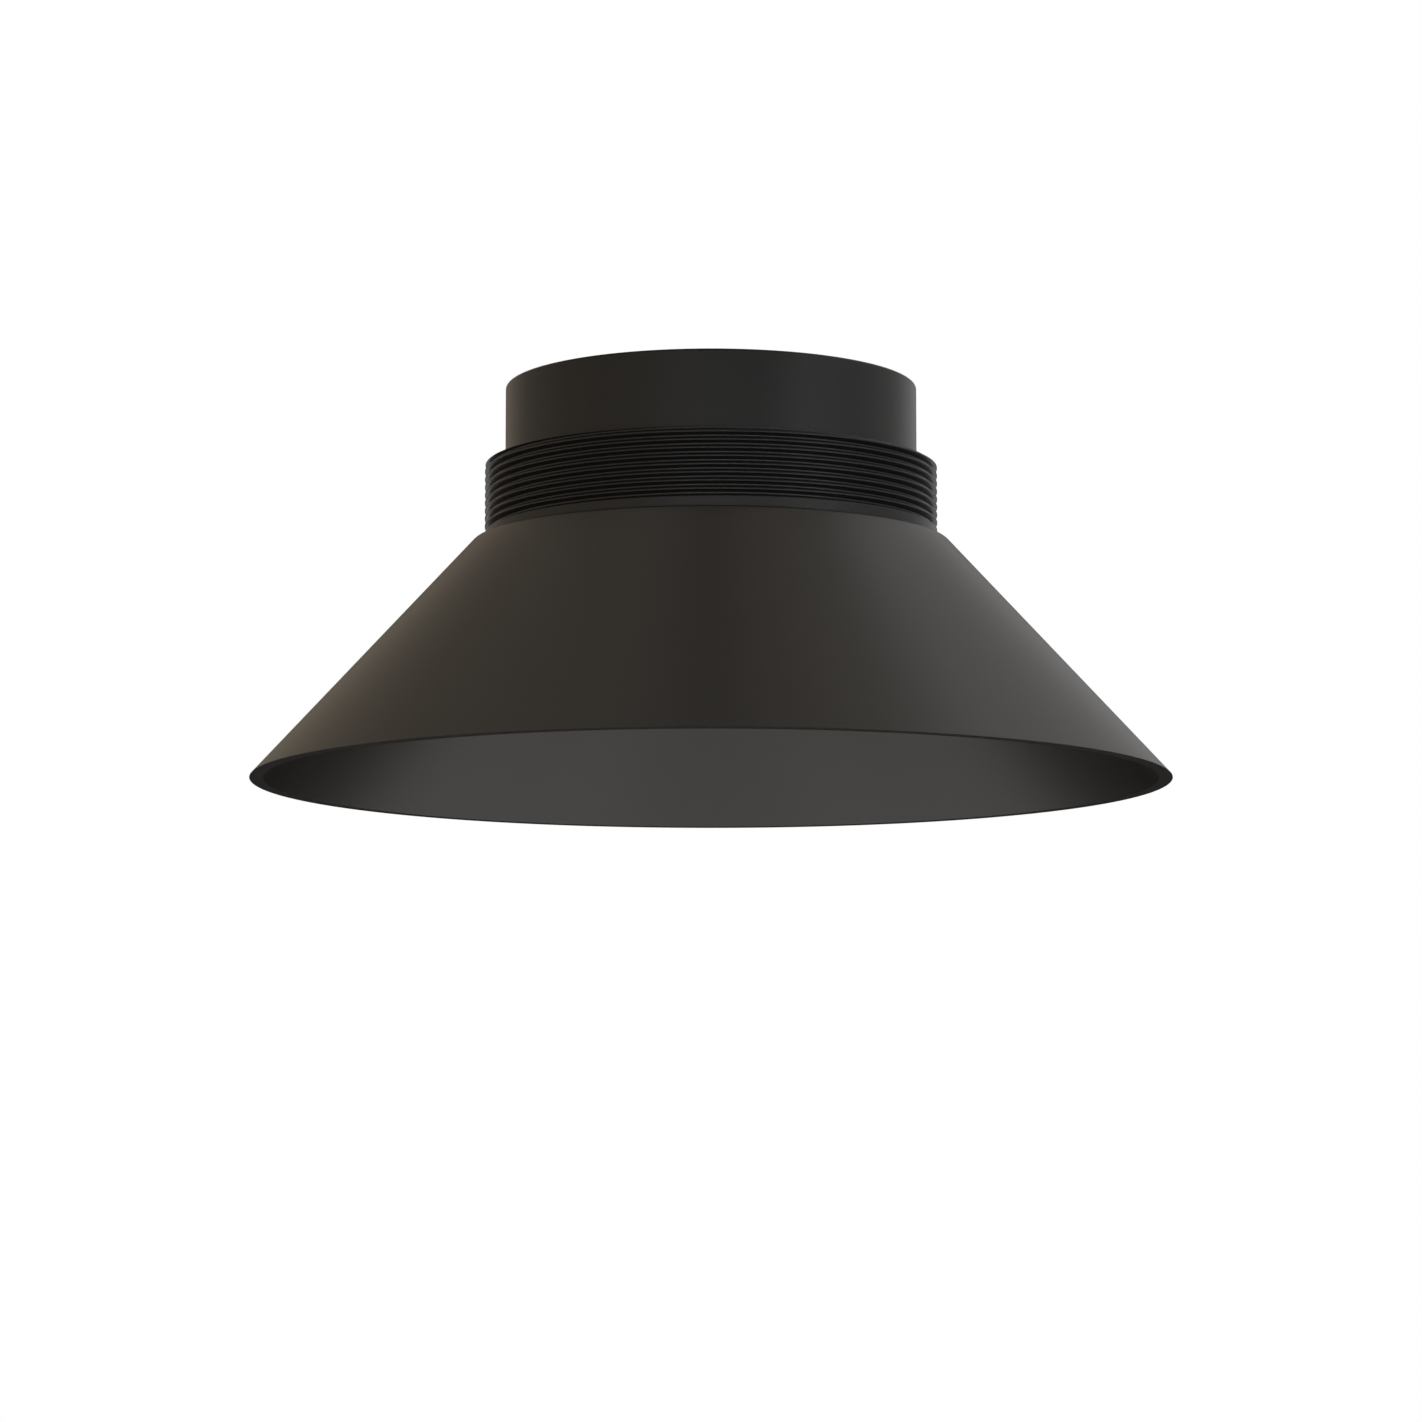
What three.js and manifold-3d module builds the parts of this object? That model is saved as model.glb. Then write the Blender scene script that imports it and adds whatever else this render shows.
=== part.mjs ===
// Conical glare shade with a threaded collar, in millimetres.
// +Z is the round axis, pointing up towards the lamp. The origin is the centre of the open mouth,
// and -Y is the front. Four round pieces are stacked on the shade's inner flange, and six screws
// pull the flanges together.

import * as THREE from "three";
import { mergeVertices } from "three/addons/utils/BufferGeometryUtils.js";
import Module from "manifold-3d";

const wasm = await Module();
wasm.setup();

// ---- Driving dimensions ----

const ROUND_SEGMENTS = 64; // sides of every large circle, and steps in one turn of the thread
const GAP = 0.3; // left between pieces that rest on each other
const SLIP_CLEARANCE = 0.4; // radial, between the sleeve and the collar's bore

const MOUTH_RADIUS = 86.6; // outer edge of the open mouth
const CONE_HEIGHT = 45.3; // from the mouth to the ledge
const SHADE_WALL = 2.0; // sheet thickness of the spun shade
const LEDGE_WIDTH = 2.15; // from the collar's crest to the corner of the cone and its ledge
const LEDGE_EDGE_RADIUS = 1.2; // spun bend between the cone and its ledge
const SEAT_DEPTH = 0.8; // recess in the ledge that centres the collar
const SEAT_CLEARANCE = 0.3; // radial, round the collar in its seat

const COLLAR_HEIGHT = 14.9; // from the ledge to the collar's top face
const COLLAR_WALL = 3.45; // from the collar's bore to the crest of its thread
const COLLAR_FLANGE = 2.5; // thickness of the collar's inner flange

const THREAD_PITCH = 1.5;
const THREAD_DEPTH = 0.92;
const THREAD_CREST = 0.3; // flat on top of the ridge
const THREAD_ROOT = 0.33; // flat at the bottom of the groove
const THREAD_START_HEIGHT = 1.95; // middle of the groove above the ledge, where it begins
const THREAD_RUN_OUT_STEPS = 6; // steps over which the groove deepens from nothing

const SLEEVE_RADIUS = 39.0; // outside
const SLEEVE_WALL = 1.5;
const SLEEVE_FLANGE = 3.0; // thickness of the sleeve's tapped inner flange
const SLEEVE_STAND = 15.0; // how far the sleeve stands above the collar

const CLAMP_THICKNESS = 3.0;
const FLANGE_EDGE = 0.8; // metal left between a screw head and the edge of its flange

const SCREW_COUNT = 6;
const SCREW_RADIUS = 1.5; // of the shank
const SCREW_HEAD_RADIUS = 2.8;
const SCREW_HEAD_LAND = 0.3; // straight edge of the countersunk head
const SCREW_HEAD_RECESS = 0.2; // how far the head sits inside the clamp ring's face
const SCREW_CLEARANCE = 0.3; // radial, round a screw in its hole
const SCREW_HOLE_EDGE = 0.4; // metal between a screw hole and the sleeve's inside face
const SCREW_TIP_SETBACK = 0.2; // from the tapped flange's top face to the screw's tip
const SCREW_SEGMENTS = 20;
const HEX_ACROSS_FLATS = 2.0;
const HEX_DEPTH = 1.1;
const PAST_FACE = 1.0; // how far a drill runs past the face it enters or leaves

// ---- Sizes and heights that follow from them ----

const sleeveInnerRadius = SLEEVE_RADIUS - SLEEVE_WALL;
const screwHoleRadius = SCREW_RADIUS + SCREW_CLEARANCE;
const screwCircleRadius = sleeveInnerRadius - SCREW_HOLE_EDGE - screwHoleRadius;
const lightBoreRadius = screwCircleRadius - SCREW_HEAD_RADIUS - FLANGE_EDGE;
const clampOuterRadius = screwCircleRadius + SCREW_HEAD_RADIUS + FLANGE_EDGE;
const collarBoreRadius = SLEEVE_RADIUS + SLIP_CLEARANCE;
const crestRadius = collarBoreRadius + COLLAR_WALL;
const seatRadius = crestRadius + SEAT_CLEARANCE;
const ledgeRadius = crestRadius + LEDGE_WIDTH;

const ledgeZ = CONE_HEIGHT;
const seatZ = ledgeZ - SEAT_DEPTH;
const shadeFlangeUnderZ = seatZ - SHADE_WALL;
const clampTopZ = shadeFlangeUnderZ - GAP;
const clampUnderZ = clampTopZ - CLAMP_THICKNESS;
const collarBottomZ = seatZ + GAP;
const collarFlangeTopZ = collarBottomZ + COLLAR_FLANGE;
const collarTopZ = ledgeZ + COLLAR_HEIGHT;
const sleeveBottomZ = collarFlangeTopZ + GAP;
const sleeveFlangeTopZ = sleeveBottomZ + SLEEVE_FLANGE;
const sleeveTopZ = collarTopZ + SLEEVE_STAND;

const screwHeadZ = clampUnderZ + SCREW_HEAD_RECESS;
const headConeTopZ = screwHeadZ + SCREW_HEAD_LAND + (SCREW_HEAD_RADIUS - SCREW_RADIUS);
const screwTipZ = sleeveFlangeTopZ - SCREW_TIP_SETBACK;

// ---- Solids ----

// Gives a three.js geometry shared vertices and no collapsed triangles.
function welded(geometry) {
  const bare = new THREE.BufferGeometry();
  bare.setAttribute("position", geometry.getAttribute("position"));
  bare.setIndex(geometry.getIndex());
  const merged = mergeVertices(bare, 1e-4);
  const index = merged.getIndex().array;
  const kept = [];
  for (let i = 0; i < index.length; i += 3) {
    const [a, b, c] = [index[i], index[i + 1], index[i + 2]];
    if (a !== b && b !== c && c !== a) {
      kept.push(a, b, c);
    }
  }
  merged.setIndex(kept);
  return merged;
}

function solidOf(geometry) {
  const closed = welded(geometry);
  return new wasm.Manifold(
    new wasm.Mesh({
      numProp: 3,
      vertProperties: new Float32Array(closed.getAttribute("position").array),
      triVerts: new Uint32Array(closed.getIndex().array),
    }),
  );
}

function geometryOf(solid) {
  const mesh = solid.getMesh();
  const geometry = new THREE.BufferGeometry();
  geometry.setAttribute("position", new THREE.BufferAttribute(mesh.vertProperties, 3));
  geometry.setIndex(new THREE.BufferAttribute(mesh.triVerts, 1));
  geometry.computeVertexNormals();
  return geometry;
}

// Turns a profile of [radius, height] points about +Z. The profile runs anticlockwise, with the
// radius to the right and the height up, and it closes on itself unless it lies on the axis.
function turned(profile, segments = ROUND_SEGMENTS) {
  const points = profile.map(([radius, height]) => new THREE.Vector2(radius, height));
  const onAxis = profile[0][0] === 0 && profile.at(-1)[0] === 0;
  if (!onAxis) {
    points.push(points[0].clone());
  }
  const geometry = new THREE.LatheGeometry(points, segments);
  geometry.rotateX(Math.PI / 2);
  return geometry;
}

// Points of an arc that rounds the corner between two straight lines of a profile.
function roundedCorner(before, corner, after, radius, steps = 4) {
  const at = new THREE.Vector2(...corner);
  const back = new THREE.Vector2(...before).sub(at).normalize();
  const on = new THREE.Vector2(...after).sub(at).normalize();
  const halfAngle = Math.acos(back.dot(on)) / 2;
  const tangentLength = radius / Math.tan(halfAngle);
  const centre = back.clone().add(on).setLength(radius / Math.sin(halfAngle)).add(at);
  const first = back.clone().multiplyScalar(tangentLength).add(at).sub(centre);
  const last = on.clone().multiplyScalar(tangentLength).add(at).sub(centre);
  const sweep = Math.atan2(first.cross(last), first.dot(last));
  const points = [];
  for (let i = 0; i <= steps; i += 1) {
    const point = first.clone().rotateAround(new THREE.Vector2(), (sweep * i) / steps);
    points.push([centre.x + point.x, centre.y + point.y]);
  }
  return points;
}

function screwPlaces() {
  const places = [];
  for (let i = 0; i < SCREW_COUNT; i += 1) {
    const angle = ((i + 0.5) / SCREW_COUNT) * 2 * Math.PI;
    places.push([screwCircleRadius * Math.cos(angle), screwCircleRadius * Math.sin(angle)]);
  }
  return places;
}

// Cuts the same turned hole at every screw.
function withScrewHoles(blank, holeProfile) {
  let solid = solidOf(blank);
  for (const [x, y] of screwPlaces()) {
    const hole = turned(holeProfile, SCREW_SEGMENTS);
    hole.translate(x, y, 0);
    solid = solid.subtract(solidOf(hole));
  }
  return solid;
}

function plainHole(lowZ, highZ) {
  return [
    [0, lowZ - PAST_FACE],
    [screwHoleRadius, lowZ - PAST_FACE],
    [screwHoleRadius, highZ + PAST_FACE],
    [0, highZ + PAST_FACE],
  ];
}

// ---- Shade ----

function coneShade() {
  const slope = (MOUTH_RADIUS - ledgeRadius) / CONE_HEIGHT;
  const wallAcross = SHADE_WALL * Math.hypot(1, slope); // the wall measured level
  const mouthOuter = [MOUTH_RADIUS, 0];
  const mouthInner = [MOUTH_RADIUS - wallAcross, 0];
  const ledgeCorner = [ledgeRadius, ledgeZ];
  const seatEdge = [seatRadius, ledgeZ];
  const seatCorner = [seatRadius, seatZ];
  const boreTop = [lightBoreRadius, seatZ];
  const boreUnder = [lightBoreRadius, shadeFlangeUnderZ];
  const innerCorner = [MOUTH_RADIUS - wallAcross - slope * shadeFlangeUnderZ, shadeFlangeUnderZ];
  const blank = turned([
    mouthOuter,
    ...roundedCorner(mouthOuter, ledgeCorner, seatEdge, LEDGE_EDGE_RADIUS),
    seatEdge,
    seatCorner,
    boreTop,
    boreUnder,
    innerCorner,
    mouthInner,
  ]);
  return withScrewHoles(blank, plainHole(shadeFlangeUnderZ, seatZ));
}

// ---- Collar ----

// The groove of the thread as one long solid: a trapezium swept up a right-hand helix, from its
// run-out at the back of the collar until it is clear of the top face.
function threadGroove() {
  const flankRun = (THREAD_PITCH - THREAD_CREST - THREAD_ROOT) / 2;
  const flare = THREAD_CREST / 3; // how far each flank goes on past the crest, along the axis
  const overrun = (THREAD_DEPTH * flare) / flankRun; // and outwards
  const halfRoot = THREAD_ROOT / 2;
  const halfMouth = halfRoot + flankRun + flare;
  const climb = COLLAR_HEIGHT - THREAD_START_HEIGHT + THREAD_PITCH;
  const steps = Math.ceil((climb / THREAD_PITCH) * ROUND_SEGMENTS);
  const positions = [];
  for (let i = 0; i <= steps; i += 1) {
    const angle = Math.PI / 2 + (i / ROUND_SEGMENTS) * 2 * Math.PI;
    const middleZ = ledgeZ + THREAD_START_HEIGHT + (i / ROUND_SEGMENTS) * THREAD_PITCH;
    const depth = THREAD_DEPTH * Math.min(1, (i - 0.5) / THREAD_RUN_OUT_STEPS);
    const inner = crestRadius - depth;
    const outer = inner + THREAD_DEPTH + overrun;
    const section = [
      [inner, middleZ - halfRoot],
      [outer, middleZ - halfMouth],
      [outer, middleZ + halfMouth],
      [inner, middleZ + halfRoot],
    ];
    for (const [radius, z] of section) {
      positions.push(radius * Math.cos(angle), radius * Math.sin(angle), z);
    }
  }
  const index = [0, 1, 2, 0, 2, 3];
  for (let i = 0; i < steps; i += 1) {
    for (let side = 0; side < 4; side += 1) {
      const a = 4 * i + side;
      const b = 4 * i + ((side + 1) % 4);
      index.push(a, b + 4, b, a, a + 4, b + 4);
    }
  }
  const end = 4 * steps;
  index.push(end, end + 2, end + 1, end, end + 3, end + 2);
  const geometry = new THREE.BufferGeometry();
  geometry.setAttribute("position", new THREE.Float32BufferAttribute(positions, 3));
  geometry.setIndex(index);
  return geometry;
}

function threadCollar() {
  const blank = turned([
    [lightBoreRadius, collarBottomZ],
    [crestRadius, collarBottomZ],
    [crestRadius, collarTopZ],
    [collarBoreRadius, collarTopZ],
    [collarBoreRadius, collarFlangeTopZ],
    [lightBoreRadius, collarFlangeTopZ],
  ]);
  const drilled = withScrewHoles(blank, plainHole(collarBottomZ, collarFlangeTopZ));
  return drilled.subtract(solidOf(threadGroove()));
}

// ---- Sleeve ----

function neckSleeve() {
  const blank = turned([
    [lightBoreRadius, sleeveBottomZ],
    [SLEEVE_RADIUS, sleeveBottomZ],
    [SLEEVE_RADIUS, sleeveTopZ],
    [sleeveInnerRadius, sleeveTopZ],
    [sleeveInnerRadius, sleeveFlangeTopZ],
    [lightBoreRadius, sleeveFlangeTopZ],
  ]);
  return withScrewHoles(blank, plainHole(sleeveBottomZ, sleeveFlangeTopZ));
}

// ---- Clamp ring and its screws ----

function clampRing() {
  const blank = turned([
    [lightBoreRadius, clampUnderZ],
    [clampOuterRadius, clampUnderZ],
    [clampOuterRadius, clampTopZ],
    [lightBoreRadius, clampTopZ],
  ]);
  const mouthRadius = SCREW_HEAD_RADIUS + SCREW_CLEARANCE;
  return withScrewHoles(blank, [
    [0, clampUnderZ - PAST_FACE],
    [mouthRadius, clampUnderZ - PAST_FACE],
    [mouthRadius, screwHeadZ + SCREW_HEAD_LAND],
    [screwHoleRadius, headConeTopZ],
    [screwHoleRadius, clampTopZ + PAST_FACE],
    [0, clampTopZ + PAST_FACE],
  ]);
}

// A countersunk screw with a hexagon socket, head down, its head's face at height zero.
function clampScrew() {
  const headConeTop = headConeTopZ - screwHeadZ;
  const length = screwTipZ - screwHeadZ;
  const tipChamfer = SCREW_RADIUS / 4;
  const body = turned(
    [
      [0, 0],
      [SCREW_HEAD_RADIUS, 0],
      [SCREW_HEAD_RADIUS, SCREW_HEAD_LAND],
      [SCREW_RADIUS, headConeTop],
      [SCREW_RADIUS, length - tipChamfer],
      [SCREW_RADIUS - tipChamfer, length],
      [0, length],
    ],
    SCREW_SEGMENTS,
  );
  const hexRadius = HEX_ACROSS_FLATS / Math.sqrt(3);
  const socket = new THREE.CylinderGeometry(hexRadius, hexRadius, 2 * HEX_DEPTH, 6);
  socket.rotateX(Math.PI / 2);
  return solidOf(body).subtract(solidOf(socket));
}

// ---- Assembly ----

const blackCoat = { color: 0x2b2927, roughness: 0.55, metalness: 0.0 };
const blackAnodised = { color: 0x232221, roughness: 0.5, metalness: 0.1 };
const blackSteel = { color: 0x1c1c1d, roughness: 0.4, metalness: 0.6 };

function piece(name, solid, look) {
  const mesh = new THREE.Mesh(geometryOf(solid), new THREE.MeshStandardMaterial(look));
  mesh.name = name;
  return mesh;
}

const group = new THREE.Group();
group.add(piece("cone_shade", coneShade(), blackCoat));
group.add(piece("thread_collar", threadCollar(), blackAnodised));
group.add(piece("neck_sleeve", neckSleeve(), blackAnodised));
group.add(piece("clamp_ring", clampRing(), blackAnodised));
screwPlaces().forEach(([x, y], i) => {
  const screw = piece(`clamp_screw_${i + 1}`, clampScrew(), blackSteel);
  screw.position.set(x, y, screwHeadZ);
  group.add(screw);
});

export default group;
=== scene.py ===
import math

import bmesh
import bpy
from mathutils import Matrix, Vector


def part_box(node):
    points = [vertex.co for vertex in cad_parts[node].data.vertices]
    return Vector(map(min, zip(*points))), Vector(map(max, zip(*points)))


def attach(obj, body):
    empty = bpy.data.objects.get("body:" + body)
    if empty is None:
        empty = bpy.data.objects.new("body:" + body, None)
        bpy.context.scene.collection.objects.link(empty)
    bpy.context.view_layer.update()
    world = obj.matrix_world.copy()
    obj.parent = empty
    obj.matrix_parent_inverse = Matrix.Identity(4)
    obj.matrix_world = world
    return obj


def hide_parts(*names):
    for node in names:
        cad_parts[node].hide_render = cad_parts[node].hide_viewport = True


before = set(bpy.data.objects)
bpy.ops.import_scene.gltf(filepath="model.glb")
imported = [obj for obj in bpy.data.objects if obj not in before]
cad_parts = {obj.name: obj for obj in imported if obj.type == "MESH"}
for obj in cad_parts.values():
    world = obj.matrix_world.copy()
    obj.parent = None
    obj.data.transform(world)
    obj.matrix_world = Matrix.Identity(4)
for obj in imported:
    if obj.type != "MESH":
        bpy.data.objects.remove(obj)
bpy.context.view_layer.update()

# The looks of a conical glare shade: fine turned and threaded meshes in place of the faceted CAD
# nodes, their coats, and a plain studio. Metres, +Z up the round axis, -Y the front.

MM = 0.001
BODY = "root"

# ---- Sizes that the frame's boxes don't give ----

SHADE_WALL = 2.0 * MM
SHADE_INNER_BEND = 0.8 * MM
LEDGE_WIDTH = 2.15 * MM
LEDGE_EDGE_RADIUS = 1.2 * MM
SEAT_DEPTH = 0.8 * MM
COLLAR_WALL = 3.45 * MM
COLLAR_FLANGE = 2.5 * MM
SLEEVE_WALL = 1.5 * MM
SLEEVE_FLANGE = 3.0 * MM
FLANGE_EDGE = 0.8 * MM
SCREW_RADIUS = 1.5 * MM
SCREW_CLEARANCE = 0.15 * MM
SCREW_HEAD_LAND = 0.3 * MM
HEX_ACROSS_FLATS = 2.0 * MM
HEX_DEPTH = 1.1 * MM
HEX_RIM = 0.15 * MM  # flat left round the socket's corners
SCREW_EDGE = 0.1 * MM
SCREW_NODES = [f"clamp_screw_{i}" for i in range(1, 7)]

THREAD_PITCH = 1.5 * MM
THREAD_DEPTH = 0.92 * MM
THREAD_CREST = 0.3 * MM
THREAD_ROOT = 0.33 * MM
THREAD_CORNER_RADIUS = 0.13 * MM
THREAD_START_HEIGHT = 1.95 * MM
THREAD_RUN_IN = 6 / 64  # of a turn, over which the groove deepens from nothing

# The CAD solids stand 0.3 mm apart where they touch. The fine pieces close that to a hairline.
JOINT_LINE = 0.02 * MM
SOFT_EDGE = 0.12 * MM  # breaks most machined edges
CRISP_EDGE = 0.05 * MM  # for the mouth's outer edge and the edge of the collar's seat
SLEEVE_END_EDGE = 0.4 * MM
SMALL_EDGE = 0.3 * MM  # an edge under this needs few steps round it
ROUND_SEGMENTS = 256
HOLE_SEGMENTS = 40
SHARP_ANGLE = math.radians(32)
FACE_AREA_WEIGHT = 80  # how strongly large faces set the normals


# ---- Mesh tools ----

def corner_arc(before, corner, after, radius, steps):
    """Points that round the corner of an outline."""
    at = Vector(corner)
    back = (Vector(before) - at).normalized()
    on = (Vector(after) - at).normalized()
    half = back.angle(on) / 2
    tangent = radius / math.tan(half)
    centre = at + (back + on).normalized() * (radius / math.sin(half))
    first = at + back * tangent - centre
    last = at + on * tangent - centre
    sweep = math.atan2(first.cross(last), first.dot(last))
    turn = [Matrix.Rotation(sweep * i / steps, 2) for i in range(steps + 1)]
    return [tuple(centre + m @ first) for m in turn]


def softened(corners):
    """An open outline from (radius, height, edge radius) corners, each with its edge rounded."""
    points = []
    last = len(corners) - 1
    for i, (r, z, edge) in enumerate(corners):
        if edge == 0 or i in (0, last):
            points.append((r, z))
            continue
        steps = 3 if edge < SMALL_EDGE else 8
        points += corner_arc(corners[i - 1][:2], (r, z), corners[i + 1][:2], edge, steps)
    return points


def circle(bm, radius, z, segments=ROUND_SEGMENTS, centre=(0.0, 0.0)):
    """The vertices of a level circle."""
    verts = []
    for i in range(segments):
        a = 2 * math.pi * i / segments
        verts.append(bm.verts.new((centre[0] + radius * math.cos(a), centre[1] + radius * math.sin(a), z)))
    return verts


def rim_edges(bm, verts):
    """The closed ring of edges through a circle's vertices."""
    edges = []
    for a, b in zip(verts, verts[1:] + verts[:1]):
        edges.append(bm.edges.get((a, b)) or bm.edges.new((a, b)))
    return edges


def skin(bm, outline, segments=ROUND_SEGMENTS, centre=(0.0, 0.0)):
    """Turns an open outline of (radius, height) points. Returns its first and last circles."""
    rings = [circle(bm, r, z, segments, centre) for r, z in outline]
    for low, high in zip(rings, rings[1:]):
        for i in range(segments):
            j = (i + 1) % segments
            bm.faces.new((low[i], low[j], high[j], high[i]))
    return rings[0], rings[-1]


def flat(bm, *edge_rings):
    """Fills the level face between an outer ring, an inner ring and any holes."""
    edges = [e for ring in edge_rings for e in ring]
    bmesh.ops.triangle_fill(bm, use_beauty=True, use_dissolve=False, edges=edges)


def as_mesh(name, bm):
    mesh = bpy.data.meshes.new(name)
    bm.to_mesh(mesh)
    bm.free()
    return mesh


def finished(name, bm, nodes, material):
    """Makes the mesh's object, smooth with sharp machined edges, and ties it to the frame."""
    bmesh.ops.recalc_face_normals(bm, faces=bm.faces)
    mesh = as_mesh(name, bm)
    mesh.shade_smooth()
    mesh.set_sharp_from_angle(angle=SHARP_ANGLE)
    mesh.materials.append(material)
    obj = bpy.data.objects.new(name, mesh)
    bpy.context.scene.collection.objects.link(obj)
    even = obj.modifiers.new("even_normals", "WEIGHTED_NORMAL")
    even.keep_sharp = True
    even.weight = FACE_AREA_WEIGHT
    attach(obj, BODY)
    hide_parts(*nodes)
    return obj


# ---- Places, from the frame ----

shade_low, shade_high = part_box("cone_shade")
collar_low, collar_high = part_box("thread_collar")
sleeve_low, sleeve_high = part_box("neck_sleeve")
clamp_low, clamp_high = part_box("clamp_ring")

mouth_radius = shade_high[0]
ledge_z = shade_high[2]
crest_radius = collar_high[0]
collar_top_z = collar_high[2]
sleeve_radius = sleeve_high[0]
sleeve_top_z = sleeve_high[2]
clamp_radius = clamp_high[0]
clamp_under_z = clamp_low[2]
seat_z = ledge_z - SEAT_DEPTH
seat_radius = crest_radius + JOINT_LINE
ledge_radius = crest_radius + LEDGE_WIDTH
collar_bore_radius = crest_radius - COLLAR_WALL
sleeve_bore_radius = sleeve_radius - SLEEVE_WALL


def screw_box(node):
    """A screw's axis, head radius, and the heights of its head's face and its tip."""
    low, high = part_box(node)
    centre = ((low[0] + high[0]) / 2, (low[1] + high[1]) / 2)
    return centre, (high[0] - low[0]) / 2, low[2], high[2]


screw_centres = [screw_box(node)[0] for node in SCREW_NODES]
_, head_radius, screw_head_z, screw_tip_z = screw_box(SCREW_NODES[0])
head_cone_top_z = screw_head_z + SCREW_HEAD_LAND + head_radius - SCREW_RADIUS
screw_circle_radius = math.hypot(*screw_centres[0])
light_bore_radius = screw_circle_radius - head_radius - FLANGE_EDGE
screw_hole_radius = SCREW_RADIUS + SCREW_CLEARANCE


# ---- Round pieces with screw holes ----

def drill(bm, outline):
    """The walls of all the screw holes. Returns the edges of their lower and upper mouths."""
    lower, upper = [], []
    for centre in screw_centres:
        low, high = skin(bm, outline, HOLE_SEGMENTS, centre)
        lower += rim_edges(bm, low)
        upper += rim_edges(bm, high)
    return lower, upper


def drilled_round(bm, around, bore, hole):
    """A closed round piece: `around` runs outside from the lower to the upper drilled face, `bore`
    does the same inside, and `hole` is the outline of one screw hole about its own axis."""
    around_low, around_high = skin(bm, around)
    bore_low, bore_high = skin(bm, bore)
    hole_low, hole_high = drill(bm, hole)
    flat(bm, rim_edges(bm, around_low), rim_edges(bm, bore_low), hole_low)
    flat(bm, rim_edges(bm, around_high), rim_edges(bm, bore_high), hole_high)


def flange_bore(low_z, high_z):
    """The light bore through one flange, its edges broken."""
    wide = light_bore_radius + SOFT_EDGE
    return softened([
        (wide, low_z, 0),
        (light_bore_radius, low_z + SOFT_EDGE, SOFT_EDGE / 2),
        (light_bore_radius, high_z - SOFT_EDGE, SOFT_EDGE / 2),
        (wide, high_z, 0),
    ])


def cone_shade(material):
    slope = (mouth_radius - ledge_radius) / ledge_z
    wall_across = SHADE_WALL * math.hypot(1, slope)
    under_z = seat_z - SHADE_WALL
    inner_mouth = mouth_radius - wall_across
    inner_corner = inner_mouth - slope * under_z
    around = softened([
        (clamp_radius, under_z, 0),
        (inner_corner, under_z, SHADE_INNER_BEND),
        (inner_mouth, 0, SOFT_EDGE),
        (mouth_radius, 0, CRISP_EDGE),
        (ledge_radius, ledge_z, LEDGE_EDGE_RADIUS),
        (seat_radius, ledge_z, CRISP_EDGE),
        (seat_radius, seat_z, 0),
        (seat_radius - SOFT_EDGE, seat_z, 0),
    ])
    bm = bmesh.new()
    hole = [(screw_hole_radius, under_z), (screw_hole_radius, seat_z)]
    drilled_round(bm, around, flange_bore(under_z, seat_z), hole)
    return finished("cone_shade_fine", bm, ["cone_shade"], material)


def thread_outline():
    """One pitch of the thread, (height, depth) points from the middle of one crest to the next."""
    half_root = THREAD_ROOT / 2
    half_mouth = (THREAD_PITCH - THREAD_CREST) / 2
    corners = [(-half_mouth, 0), (-half_root, THREAD_DEPTH), (half_root, THREAD_DEPTH), (half_mouth, 0)]
    ends = (-THREAD_PITCH / 2, 0), (THREAD_PITCH / 2, 0)
    line = [ends[0], *corners, ends[1]]
    points = [ends[0]]
    for before, corner, after in zip(line, line[1:], line[2:]):
        points += corner_arc(before, corner, after, THREAD_CORNER_RADIUS, 4)
    return points


def thread_skin(bm, low_z, high_z):
    """The collar's outside: a helical surface cut level at both ends. Returns both end rings."""
    outline = thread_outline()
    start_z = ledge_z + THREAD_START_HEIGHT
    turns_below = math.ceil((start_z - low_z) / THREAD_PITCH) + 1
    turns_above = math.ceil((high_z - start_z) / THREAD_PITCH) + 1
    steps = ROUND_SEGMENTS * (turns_below + turns_above)
    columns = []
    for i in range(steps + 1):
        turn = i / ROUND_SEGMENTS - turns_below
        angle = math.pi / 2 + 2 * math.pi * turn
        run_in = min(max(turn / THREAD_RUN_IN, 0), 1)
        strength = run_in * run_in * (3 - 2 * run_in)
        column = []
        for height, depth in outline:
            radius = crest_radius - depth * strength
            z = start_z + THREAD_PITCH * turn + height
            column.append(bm.verts.new((radius * math.cos(angle), radius * math.sin(angle), z)))
        columns.append(column)
    for i in range(steps):
        here, there = columns[i], columns[i + 1]
        for k in range(len(outline) - 1):
            bm.faces.new((here[k], there[k], there[k + 1], here[k + 1]))
        if i + ROUND_SEGMENTS < steps:
            above, above_there = columns[i + ROUND_SEGMENTS], columns[i + ROUND_SEGMENTS + 1]
            bm.faces.new((here[-1], there[-1], above_there[0], above[0]))
    for z, side in ((low_z, -1), (high_z, 1)):
        bmesh.ops.bisect_plane(
            bm, geom=bm.verts[:] + bm.edges[:] + bm.faces[:], dist=1e-9,
            plane_co=(0, 0, z), plane_no=(0, 0, side), clear_outer=True,
        )
    open_edges = [e for e in bm.edges if e.is_boundary]
    middle = (low_z + high_z) / 2
    low_ring = [e for e in open_edges if e.verts[0].co.z < middle]
    high_ring = [e for e in open_edges if e.verts[0].co.z > middle]
    return low_ring, high_ring


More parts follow.
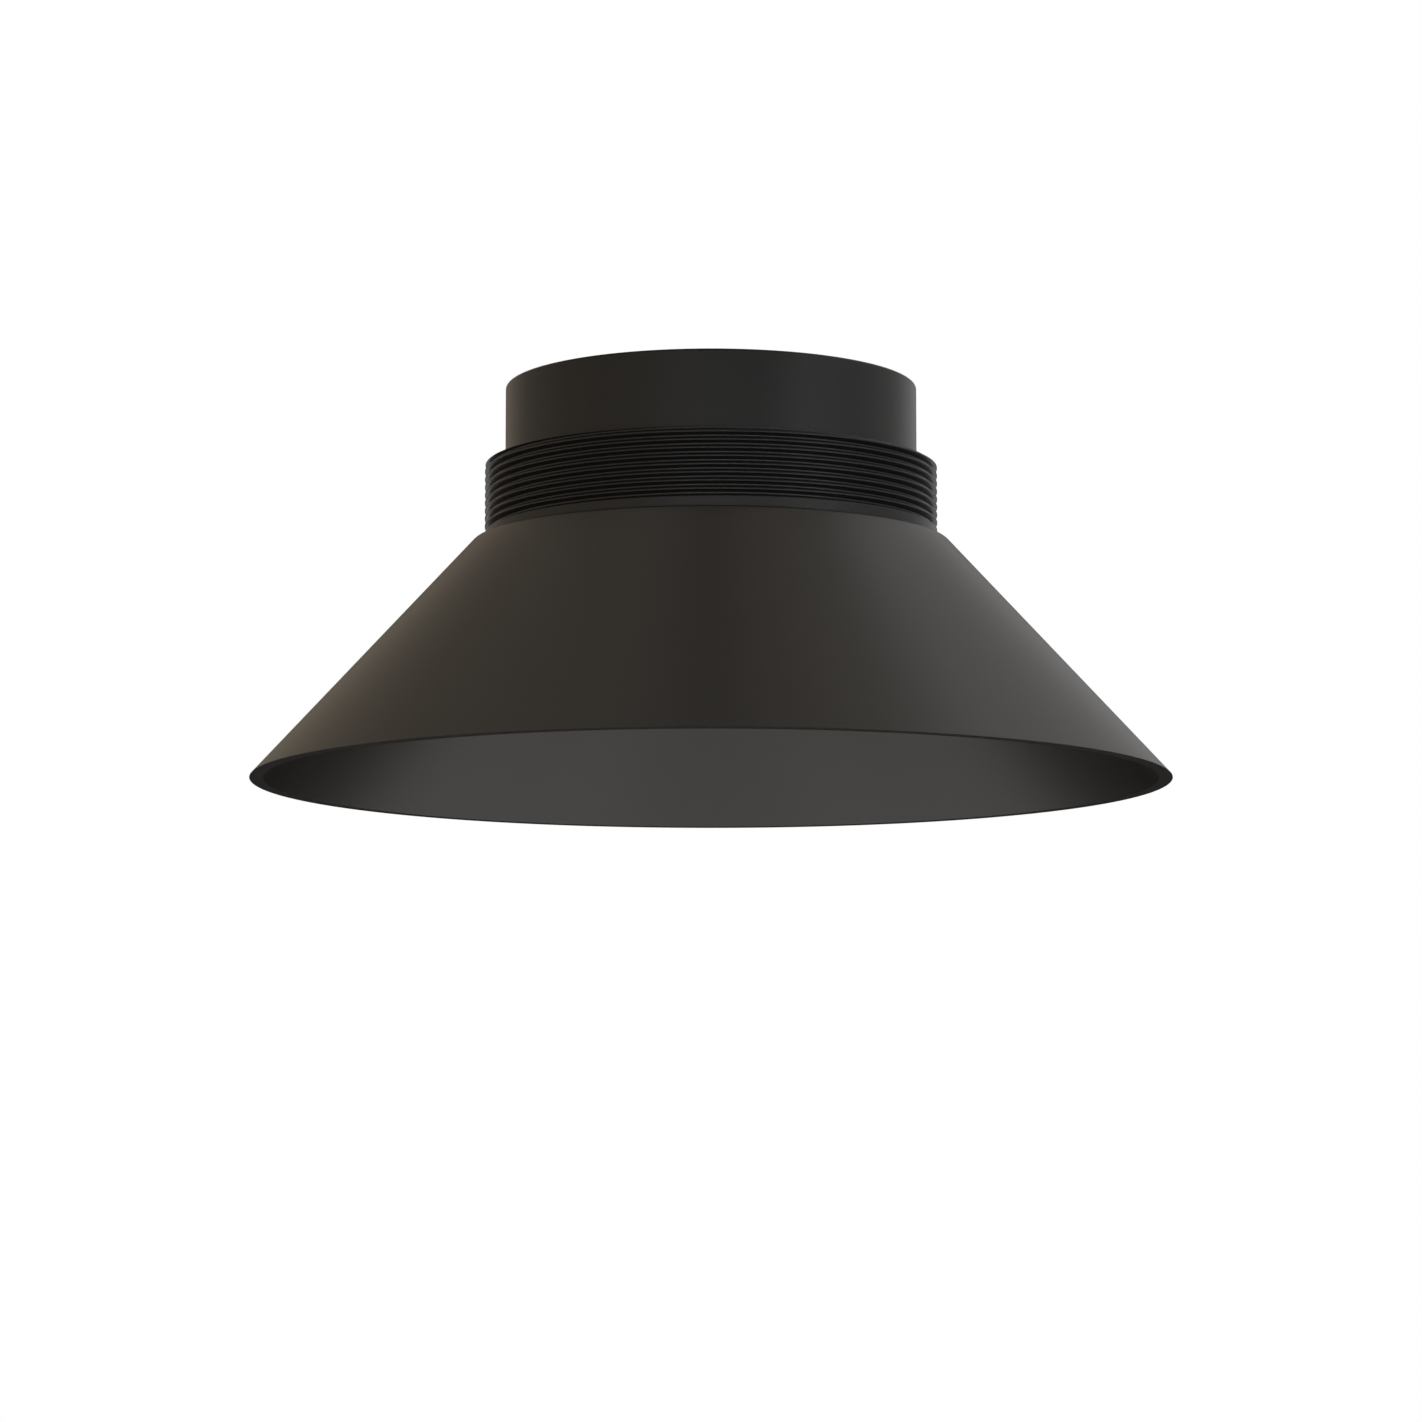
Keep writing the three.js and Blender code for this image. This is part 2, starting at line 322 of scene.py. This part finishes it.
def thread_collar(material):
    low_z = seat_z + JOINT_LINE
    flange_z = collar_low[2] + COLLAR_FLANGE
    bm = bmesh.new()
    low_ring, high_ring = thread_skin(bm, low_z, collar_top_z)
    inside = softened([
        (collar_bore_radius + SOFT_EDGE, collar_top_z, 0),
        (collar_bore_radius, collar_top_z - SOFT_EDGE, SOFT_EDGE / 2),
        (collar_bore_radius, flange_z, 0),
    ])
    inside_top, inside_low = skin(bm, inside)
    bore_low, bore_high = skin(bm, flange_bore(low_z, flange_z))
    hole_low, hole_high = drill(bm, [(screw_hole_radius, low_z), (screw_hole_radius, flange_z)])
    flat(bm, high_ring, rim_edges(bm, inside_top))
    flat(bm, rim_edges(bm, inside_low), rim_edges(bm, bore_high), hole_high)
    flat(bm, low_ring, rim_edges(bm, bore_low), hole_low)
    return finished("thread_collar_fine", bm, ["thread_collar"], material)


def neck_sleeve(material):
    low_z = collar_low[2] + COLLAR_FLANGE + JOINT_LINE
    flange_z = sleeve_low[2] + SLEEVE_FLANGE
    around = softened([
        (sleeve_radius - 2 * SOFT_EDGE, low_z, 0),
        (sleeve_radius, low_z, SOFT_EDGE),
        (sleeve_radius, sleeve_top_z, SLEEVE_END_EDGE),
        (sleeve_bore_radius, sleeve_top_z, SLEEVE_END_EDGE),
        (sleeve_bore_radius, flange_z, 0),
    ])
    bm = bmesh.new()
    hole = [(screw_hole_radius, low_z), (screw_hole_radius, flange_z)]
    drilled_round(bm, around, flange_bore(low_z, flange_z), hole)
    return finished("neck_sleeve_fine", bm, ["neck_sleeve"], material)


def clamp_ring(material):
    high_z = seat_z - SHADE_WALL - JOINT_LINE
    around = softened([
        (clamp_radius - 2 * SOFT_EDGE, clamp_under_z, 0),
        (clamp_radius, clamp_under_z, 2 * SOFT_EDGE / 3),
        (clamp_radius, high_z, 2 * SOFT_EDGE / 3),
        (clamp_radius - 2 * SOFT_EDGE, high_z, 0),
    ])
    mouth = head_radius + SCREW_CLEARANCE
    hole = [
        (mouth, clamp_under_z),
        (mouth, screw_head_z + SCREW_HEAD_LAND),
        (screw_hole_radius, head_cone_top_z),
        (screw_hole_radius, high_z),
    ]
    bm = bmesh.new()
    drilled_round(bm, around, flange_bore(clamp_under_z, high_z), hole)
    return finished("clamp_ring_fine", bm, ["clamp_ring"], material)


def clamp_screw(node, material):
    """A countersunk screw, head down, with a hexagon socket and a rounded tip."""
    centre = screw_box(node)[0]
    socket_radius = HEX_ACROSS_FLATS / math.sqrt(3)
    socket_rim = socket_radius + HEX_RIM
    bm = bmesh.new()
    body = softened([
        (socket_rim, screw_head_z, 0),
        (head_radius, screw_head_z, SCREW_EDGE),
        (head_radius, screw_head_z + SCREW_HEAD_LAND, SCREW_EDGE),
        (SCREW_RADIUS, head_cone_top_z, 2 * SCREW_EDGE),
        (SCREW_RADIUS, screw_tip_z, 4 * SCREW_EDGE),
        (SCREW_RADIUS / 3, screw_tip_z, 0),
    ])
    rim, tip = skin(bm, body, HOLE_SEGMENTS, centre)
    bm.faces.new(tip)
    hexes = []
    for z in (screw_head_z, screw_head_z + HEX_DEPTH):
        hexes.append(circle(bm, socket_radius, z, 6, centre))
    for i in range(6):
        j = (i + 1) % 6
        bm.faces.new((hexes[0][i], hexes[0][j], hexes[1][j], hexes[1][i]))
    drill_point = bm.verts.new((*centre, screw_head_z + HEX_DEPTH + socket_radius / 3))
    for i in range(6):
        bm.faces.new((hexes[1][i], hexes[1][(i + 1) % 6], drill_point))
    flat(bm, rim_edges(bm, rim), rim_edges(bm, hexes[0]))
    return finished(f"{node}_fine", bm, [node], material)


# ---- Materials ----

DRIFT_SIZE = 25 * MM
GLOSS_SHIFT = 0.03
RELIEF_STRENGTH = 0.5


def black_coat(name, colour, roughness, grain_size, grain_depth, tone_shift):
    """A matte black coat: a fine even grain in the surface, and a faint drift in tone and gloss."""
    material = bpy.data.materials.new(name)
    material.use_nodes = True
    nodes, links = material.node_tree.nodes, material.node_tree.links
    shader = nodes["Principled BSDF"]
    place = nodes.new("ShaderNodeTexCoord")

    grain = nodes.new("ShaderNodeTexNoise")
    grain.inputs["Scale"].default_value = 1 / grain_size
    grain.inputs["Detail"].default_value = 3
    grain.inputs["Roughness"].default_value = 0.55
    links.new(place.outputs["Object"], grain.inputs["Vector"])

    drift = nodes.new("ShaderNodeTexNoise")
    drift.inputs["Scale"].default_value = 1 / DRIFT_SIZE
    drift.inputs["Detail"].default_value = 2
    links.new(place.outputs["Object"], drift.inputs["Vector"])

    tone = nodes.new("ShaderNodeMix")
    tone.data_type = "RGBA"
    tone.inputs["A"].default_value = (*[c * (1 - tone_shift) for c in colour], 1)
    tone.inputs["B"].default_value = (*[c * (1 + tone_shift) for c in colour], 1)
    links.new(drift.outputs["Fac"], tone.inputs["Factor"])
    links.new(tone.outputs["Result"], shader.inputs["Base Color"])

    gloss = nodes.new("ShaderNodeMapRange")
    gloss.inputs["To Min"].default_value = roughness - GLOSS_SHIFT
    gloss.inputs["To Max"].default_value = roughness + GLOSS_SHIFT
    links.new(grain.outputs["Fac"], gloss.inputs["Value"])
    links.new(gloss.outputs["Result"], shader.inputs["Roughness"])

    relief = nodes.new("ShaderNodeBump")
    relief.inputs["Strength"].default_value = RELIEF_STRENGTH
    relief.inputs["Distance"].default_value = grain_depth
    links.new(grain.outputs["Fac"], relief.inputs["Height"])
    links.new(relief.outputs["Normal"], shader.inputs["Normal"])
    return material


# ---- Studio ----

CAMERA_FRONT = 865.3 * MM  # in front of the axis
CAMERA_DROP = 94.9 * MM  # below the mouth's rim
CAMERA_TILT = 7.143  # degrees up
CAMERA_LENS = 117.05
SENSOR = 36.0
FLOOR_DROP = 1.2
STUDIO_RADIUS = 9.0
FLOOR_TONE = (0.9, 0.9, 0.9)
BACKDROP_TONE = (1, 1, 1)
BOUNCE_TONE = (0.8, 0.8, 0.8)
NEUTRAL = (1, 0.98, 0.97)
COOL = (0.93, 0.97, 1)
WARM = (1, 0.9, 0.78)
AMBER = (1, 0.85, 0.67)


def camera():
    data = bpy.data.cameras.new("camera")
    data.lens = CAMERA_LENS
    data.sensor_width = SENSOR
    data.clip_start = 0.01
    data.clip_end = 60
    cam = bpy.data.objects.new("camera", data)
    cam.location = (0, -CAMERA_FRONT, -CAMERA_DROP)
    cam.rotation_euler = (math.radians(90 + CAMERA_TILT), 0, 0)
    bpy.context.scene.collection.objects.link(cam)
    bpy.context.scene.camera = cam


def softboxes(name, azimuths, elevation, distance, width, height, power, colour):
    """Soft area lights that face the object. Azimuth 0 is behind it and 90 is on its right."""
    aim = Vector((0, 0, ledge_z))
    lamps = []
    for azimuth in azimuths:
        data = bpy.data.lights.new(f"{name}_{azimuth}", "AREA")
        data.shape = "RECTANGLE"
        data.size = width
        data.size_y = height
        data.energy = power
        data.color = colour
        lamp = bpy.data.objects.new(data.name, data)
        a, e = math.radians(azimuth), math.radians(elevation)
        away = Vector((math.sin(a) * math.cos(e), math.cos(a) * math.cos(e), math.sin(e)))
        lamp.location = aim + away * distance
        lamp.rotation_euler = away.to_track_quat("Z", "Y").to_euler()
        lamp.visible_camera = False
        bpy.context.scene.collection.objects.link(lamp)
        lamps.append(lamp)
    return lamps


def plain_surface(name, mesh, shader_type, colour):
    material = bpy.data.materials.new(name)
    material.use_nodes = True
    nodes, links = material.node_tree.nodes, material.node_tree.links
    nodes.clear()
    shader = nodes.new(shader_type)
    shader.inputs["Color"].default_value = (*colour, 1)
    out = nodes.new("ShaderNodeOutputMaterial")
    links.new(shader.outputs[0], out.inputs["Surface"])
    mesh.materials.append(material)
    obj = bpy.data.objects.new(name, mesh)
    bpy.context.scene.collection.objects.link(obj)
    return obj


def disc(name, radius, z):
    bm = bmesh.new()
    bmesh.ops.create_circle(bm, cap_ends=True, segments=96, radius=radius)
    bmesh.ops.translate(bm, verts=bm.verts, vec=(0, 0, z))
    return as_mesh(name, bm)


def ball(name, radius):
    bm = bmesh.new()
    bmesh.ops.create_uvsphere(bm, u_segments=48, v_segments=24, radius=radius)
    return as_mesh(name, bm)


def studio(collar):
    # The camera sees a plain glowing floor and backdrop, which light nothing. A diffuse floor just
    # under the glowing one bounces the lamps' light up.
    floor_mesh = disc("floor", STUDIO_RADIUS, -FLOOR_DROP)
    floor = plain_surface("floor", floor_mesh, "ShaderNodeEmission", FLOOR_TONE)
    backdrop_mesh = ball("backdrop", STUDIO_RADIUS)
    backdrop = plain_surface("backdrop", backdrop_mesh, "ShaderNodeEmission", BACKDROP_TONE)
    for glowing in (floor, backdrop):
        glowing.visible_diffuse = False
        glowing.visible_glossy = False
        glowing.visible_transmission = False
        glowing.visible_shadow = False
    bounce_mesh = disc("floor_bounce", STUDIO_RADIUS, -FLOOR_DROP - MM)
    bounce = plain_surface("floor_bounce", bounce_mesh, "ShaderNodeBsdfDiffuse", BOUNCE_TONE)
    bounce.visible_camera = False

    world = bpy.data.worlds.new("studio")
    world.use_nodes = True
    sky = world.node_tree.nodes["Background"]
    sky.inputs["Color"].default_value = (0, 0, 0, 1)
    bpy.context.scene.world = world
    view = bpy.context.scene.view_settings
    view.view_transform = "Standard"
    view.look = "None"

    # name, azimuths, elevation, distance, width, height, power, colour
    softboxes("front", (135, 180), -8, 0.95, 0.7, 0.3, 1.95, NEUTRAL)
    softboxes("front_left", (225, 270), -8, 0.95, 0.7, 0.3, 0.6, WARM)
    softboxes("right", (60, 90, 120), 15, 1.8, 1.0, 0.9, 1.28, NEUTRAL)
    softboxes("left", (210, 240, 270, 300), 15, 1.8, 1.0, 0.9, 0.97, AMBER)
    softboxes("back_right", (30,), 15, 1.8, 1.0, 0.9, 1.98, NEUTRAL)
    softboxes("back_left", (330,), 15, 1.8, 1.0, 0.9, 1.4, AMBER)
    softboxes("upper_right", (45, 90), 45, 1.8, 1.4, 0.96, 2.85, NEUTRAL)
    softboxes("upper_left", (315,), 45, 1.8, 1.4, 0.96, 1.78, AMBER)
    softboxes("high", (90, 270), 72, 1.8, 1.0, 1.0, 2.1, WARM)
    softboxes("below_back", (60, 300), -60, 0.95, 0.7, 0.6, 1.44, NEUTRAL)
    softboxes("below_front", (180,), -80, 0.95, 0.7, 0.6, 1.42, NEUTRAL)
    # The thread's lower flanks catch a cool light at both sides that the shade's inside doesn't.
    collar_only = bpy.data.collections.new("collar_only")
    collar_only.objects.link(collar)
    for lamp in softboxes("thread_edge", (19, 341), -16, 0.95, 0.38, 0.3, 0.31, COOL):
        lamp.light_linking.receiver_collection = collar_only


def main():
    camera()
    coat = black_coat("black_coat", (0.012, 0.011, 0.0098), 0.38, 0.35 * MM, 0.012 * MM, 0.06)
    anodised = black_coat("black_anodised", (0.011, 0.011, 0.011), 0.38, 0.12 * MM, 0.002 * MM, 0.05)
    steel = black_coat("black_steel", (0.014, 0.014, 0.0145), 0.3, 0.15 * MM, 0.004 * MM, 0.1)
    cone_shade(coat)
    collar = thread_collar(anodised)
    neck_sleeve(anodised)
    clamp_ring(anodised)
    for node in SCREW_NODES:
        clamp_screw(node, steel)
    studio(collar)


main()
